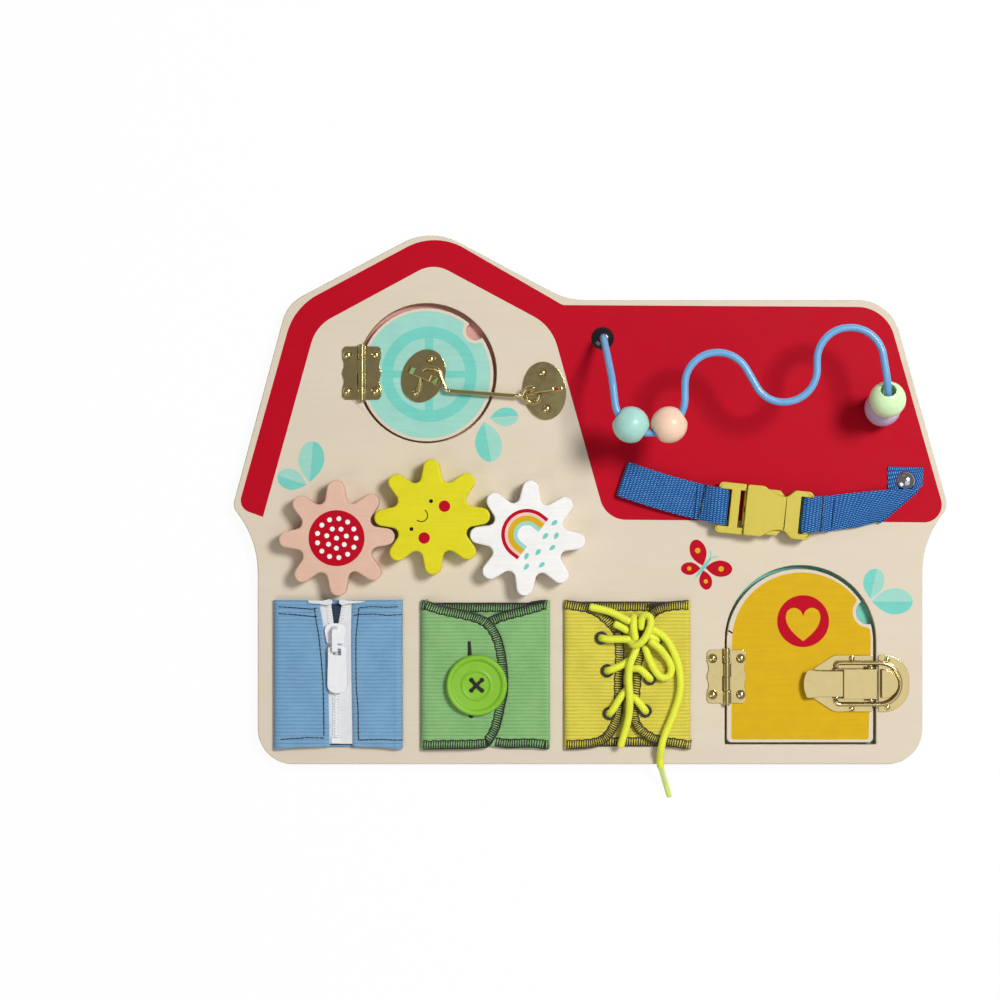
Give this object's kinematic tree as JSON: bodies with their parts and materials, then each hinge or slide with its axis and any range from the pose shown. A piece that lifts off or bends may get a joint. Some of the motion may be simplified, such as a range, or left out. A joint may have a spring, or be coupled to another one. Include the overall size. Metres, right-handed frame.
{
  "type": "busy board",
  "caption": "Wooden busy board shaped like a barn, with hinged doors, latches, turning gears, beads on a wire, a buckle strap and zip, button and lace-up cloth panels.",
  "frame": {"origin": "bottom centre of the board lying on its back, on its rear face", "axes": "+X right along the bottom edge, +Y up the board to the roof ridge, +Z out of the face towards the child"},
  "size_m": [0.401, 0.3164, 0.06],
  "materials": {
    "wood_front": "satin natural plywood",
    "wood_back": "satin natural plywood",
    "wood_ochre": "matt ochre paint",
    "brass": "polished brass plate",
    "steel": "zinc plated",
    "chrome": "polished",
    "paint_pink": "satin pale pink paint",
    "paint_yellow": "satin yellow paint",
    "paint_white": "satin white paint",
    "wire_blue": "blue plastic coat",
    "black_plastic": "gloss",
    "bead_teal": "satin paint",
    "bead_peach": "satin paint",
    "bead_green": "satin paint",
    "bead_lilac": "satin paint",
    "webbing": "woven blue webbing",
    "buckle_plastic": "satin mustard",
    "blue_cloth": "ribbed cloth",
    "zip_white": "matt",
    "zip_tape": "woven tape and coil",
    "green_cloth": "ribbed cloth",
    "button_green": "semi gloss",
    "thread_black": "sewing thread",
    "yellow_cloth": "ribbed cloth",
    "eyelet_black": "black enamel",
    "lace_neon": "round woven cord",
    "tip_clear": "clear film"
  },
  "bodies": {
    "board": {"back_board": "wood_back", "front_board": "wood_front", "board_screws": "steel", "window_hinge_frame_leaf": "brass", "arch_hinge_frame_leaf": "brass", "hinge_pins": "brass", "frame_rivets": "brass", "staple_plate": "brass", "catch_plate": "brass", "wire_track": "wire_blue", "track_grommets": "black_plastic", "track_nuts": "steel", "strap_left": "webbing", "strap_right": "webbing", "buckle_socket": "buckle_plastic", "strap_rivets": "chrome", "zip_panel_left": "blue_cloth", "zip_panel_right": "blue_cloth", "zip_chain": "zip_tape", "button_panel": "green_cloth", "button_flap": "green_cloth", "button_thread": "thread_black", "lace_panel": "yellow_cloth", "lace_flap_left": "yellow_cloth", "lace_flap_right": "yellow_cloth", "eyelets": "eyelet_black", "lace_strands": "lace_neon", "lace_knot": "lace_neon", "lace_long": "lace_neon", "lace_ends": "lace_neon", "lace_tip": "tip_clear"},
    "window_door": {"window_door": "wood_front", "window_hinge_door_leaf": "brass", "window_door_rivets": "brass", "eye_plate": "brass"},
    "hook": {"hook": "brass"},
    "arch_door": {"arch_door": "wood_ochre", "arch_hinge_door_leaf": "brass", "arch_door_rivets": "brass", "latch_base": "brass", "latch_lever_pin": "brass"},
    "latch_lever": {"latch_lever": "brass"},
    "latch_loop": {"latch_loop": "brass"},
    "gear_yellow": {"gear_yellow": "paint_yellow", "axle_yellow": "wood_back", "axle_screw_yellow": "steel"},
    "gear_pink": {"gear_pink": "paint_pink", "axle_pink": "wood_back", "axle_screw_pink": "steel"},
    "gear_white": {"gear_white": "paint_white", "axle_white": "wood_back", "axle_screw_white": "steel"},
    "bead_teal": {"bead_teal": "bead_teal"},
    "bead_peach": {"bead_peach": "bead_peach"},
    "bead_green": {"bead_green": "bead_green"},
    "bead_lilac": {"bead_lilac": "bead_lilac"},
    "buckle_plug": {"buckle_plug": "buckle_plastic"},
    "zip_slider": {"zip_slider": "zip_white"},
    "zip_pull": {"zip_pull": "zip_white"},
    "button": {"button": "button_green"}
  },
  "joints": [
    {"name": "window_door_hinge", "type": "hinge", "parent": "board", "child": "window_door", "pos_m": [-0.1284, 0.0713, 0.01205], "axis": [0, -1, 0], "range_deg": [0, 120]},
    {"name": "hook_swing", "type": "hinge", "parent": "window_door", "child": "hook", "pos_m": [-0.0948, 0.0699, 0.014], "axis": [0, 0, 1], "range_deg": [0, 36]},
    {"name": "arch_door_hinge", "type": "hinge", "parent": "board", "child": "arch_door", "pos_m": [0.0767, -0.0993, 0.01205], "axis": [0, -1, 0], "range_deg": [0, 120]},
    {"name": "latch_lever_hinge", "type": "hinge", "parent": "arch_door", "child": "latch_lever", "pos_m": [0.1572, -0.1032, 0.0144], "axis": [0, 1, 0], "range_deg": [0, 95]},
    {"name": "latch_loop_hinge", "type": "hinge", "parent": "latch_lever", "child": "latch_loop", "pos_m": [0.138, -0.1032, 0.013], "axis": [0, 1, 0], "range_deg": [-95, 0]},
    {"name": "gear_yellow_spin", "type": "hinge", "parent": "board", "child": "gear_yellow", "pos_m": [-0.0885, -0.0095, 0.0165], "axis": [0, 0, 1], "continuous": true},
    {"name": "gear_pink_spin", "type": "hinge", "parent": "board", "child": "gear_pink", "pos_m": [-0.14171, -0.0213, 0.0165], "axis": [0, 0, 1], "continuous": true},
    {"name": "gear_white_spin", "type": "hinge", "parent": "board", "child": "gear_white", "pos_m": [-0.03529, -0.0213, 0.0165], "axis": [0, 0, 1], "continuous": true},
    {"name": "bead_teal_slide", "type": "hinge", "parent": "board", "child": "bead_teal", "pos_m": [0.031, 0.0555, 0.05], "axis": [0, 0, 1], "range_deg": [-33, 0]},
    {"name": "bead_peach_slide", "type": "hinge", "parent": "board", "child": "bead_peach", "pos_m": [0.031, 0.0555, 0.05], "axis": [0, 0, 1], "range_deg": [0, 33]},
    {"name": "bead_green_slide", "type": "hinge", "parent": "board", "child": "bead_green", "pos_m": [0.15953, 0.06975, 0.031], "axis": [-0.9869, -0.1614, 0], "range_deg": [0, 35]},
    {"name": "bead_lilac_slide", "type": "slide", "parent": "board", "child": "bead_lilac", "axis": [0, 0, 1], "range_m": [0, 0.0085]},
    {"name": "buckle_release", "type": "slide", "parent": "board", "child": "buckle_plug", "axis": [-0.9945, 0.1045, 0], "range_m": [0, 0.022], "deforming": ["strap_left"]},
    {"name": "zip_slide", "type": "slide", "parent": "board", "child": "zip_slider", "axis": [0, -1, 0], "range_m": [0, 0.046]},
    {"name": "zip_pull_hinge", "type": "hinge", "parent": "zip_slider", "child": "zip_pull", "pos_m": [-0.143, -0.0824, 0.0169], "axis": [-1, 0, 0], "range_deg": [0, 110]},
    {"name": "button_turn", "type": "hinge", "parent": "board", "child": "button", "pos_m": [-0.0638, -0.1037, 0.017], "axis": [0, 0, 1], "range_deg": [-30, 30]}
  ],
  "couplings": [
    {"joint": "hook_swing", "follows": "window_door_hinge", "ratio": 0.3},
    {"joint": "latch_loop_hinge", "follows": "latch_lever_hinge", "ratio": -1},
    {"joint": "gear_pink_spin", "follows": "gear_yellow_spin", "ratio": -1},
    {"joint": "gear_white_spin", "follows": "gear_yellow_spin", "ratio": -1},
    {"joint": "bead_lilac_slide", "follows": "bead_green_slide", "m_per_rad": 0.0139}
  ]
}
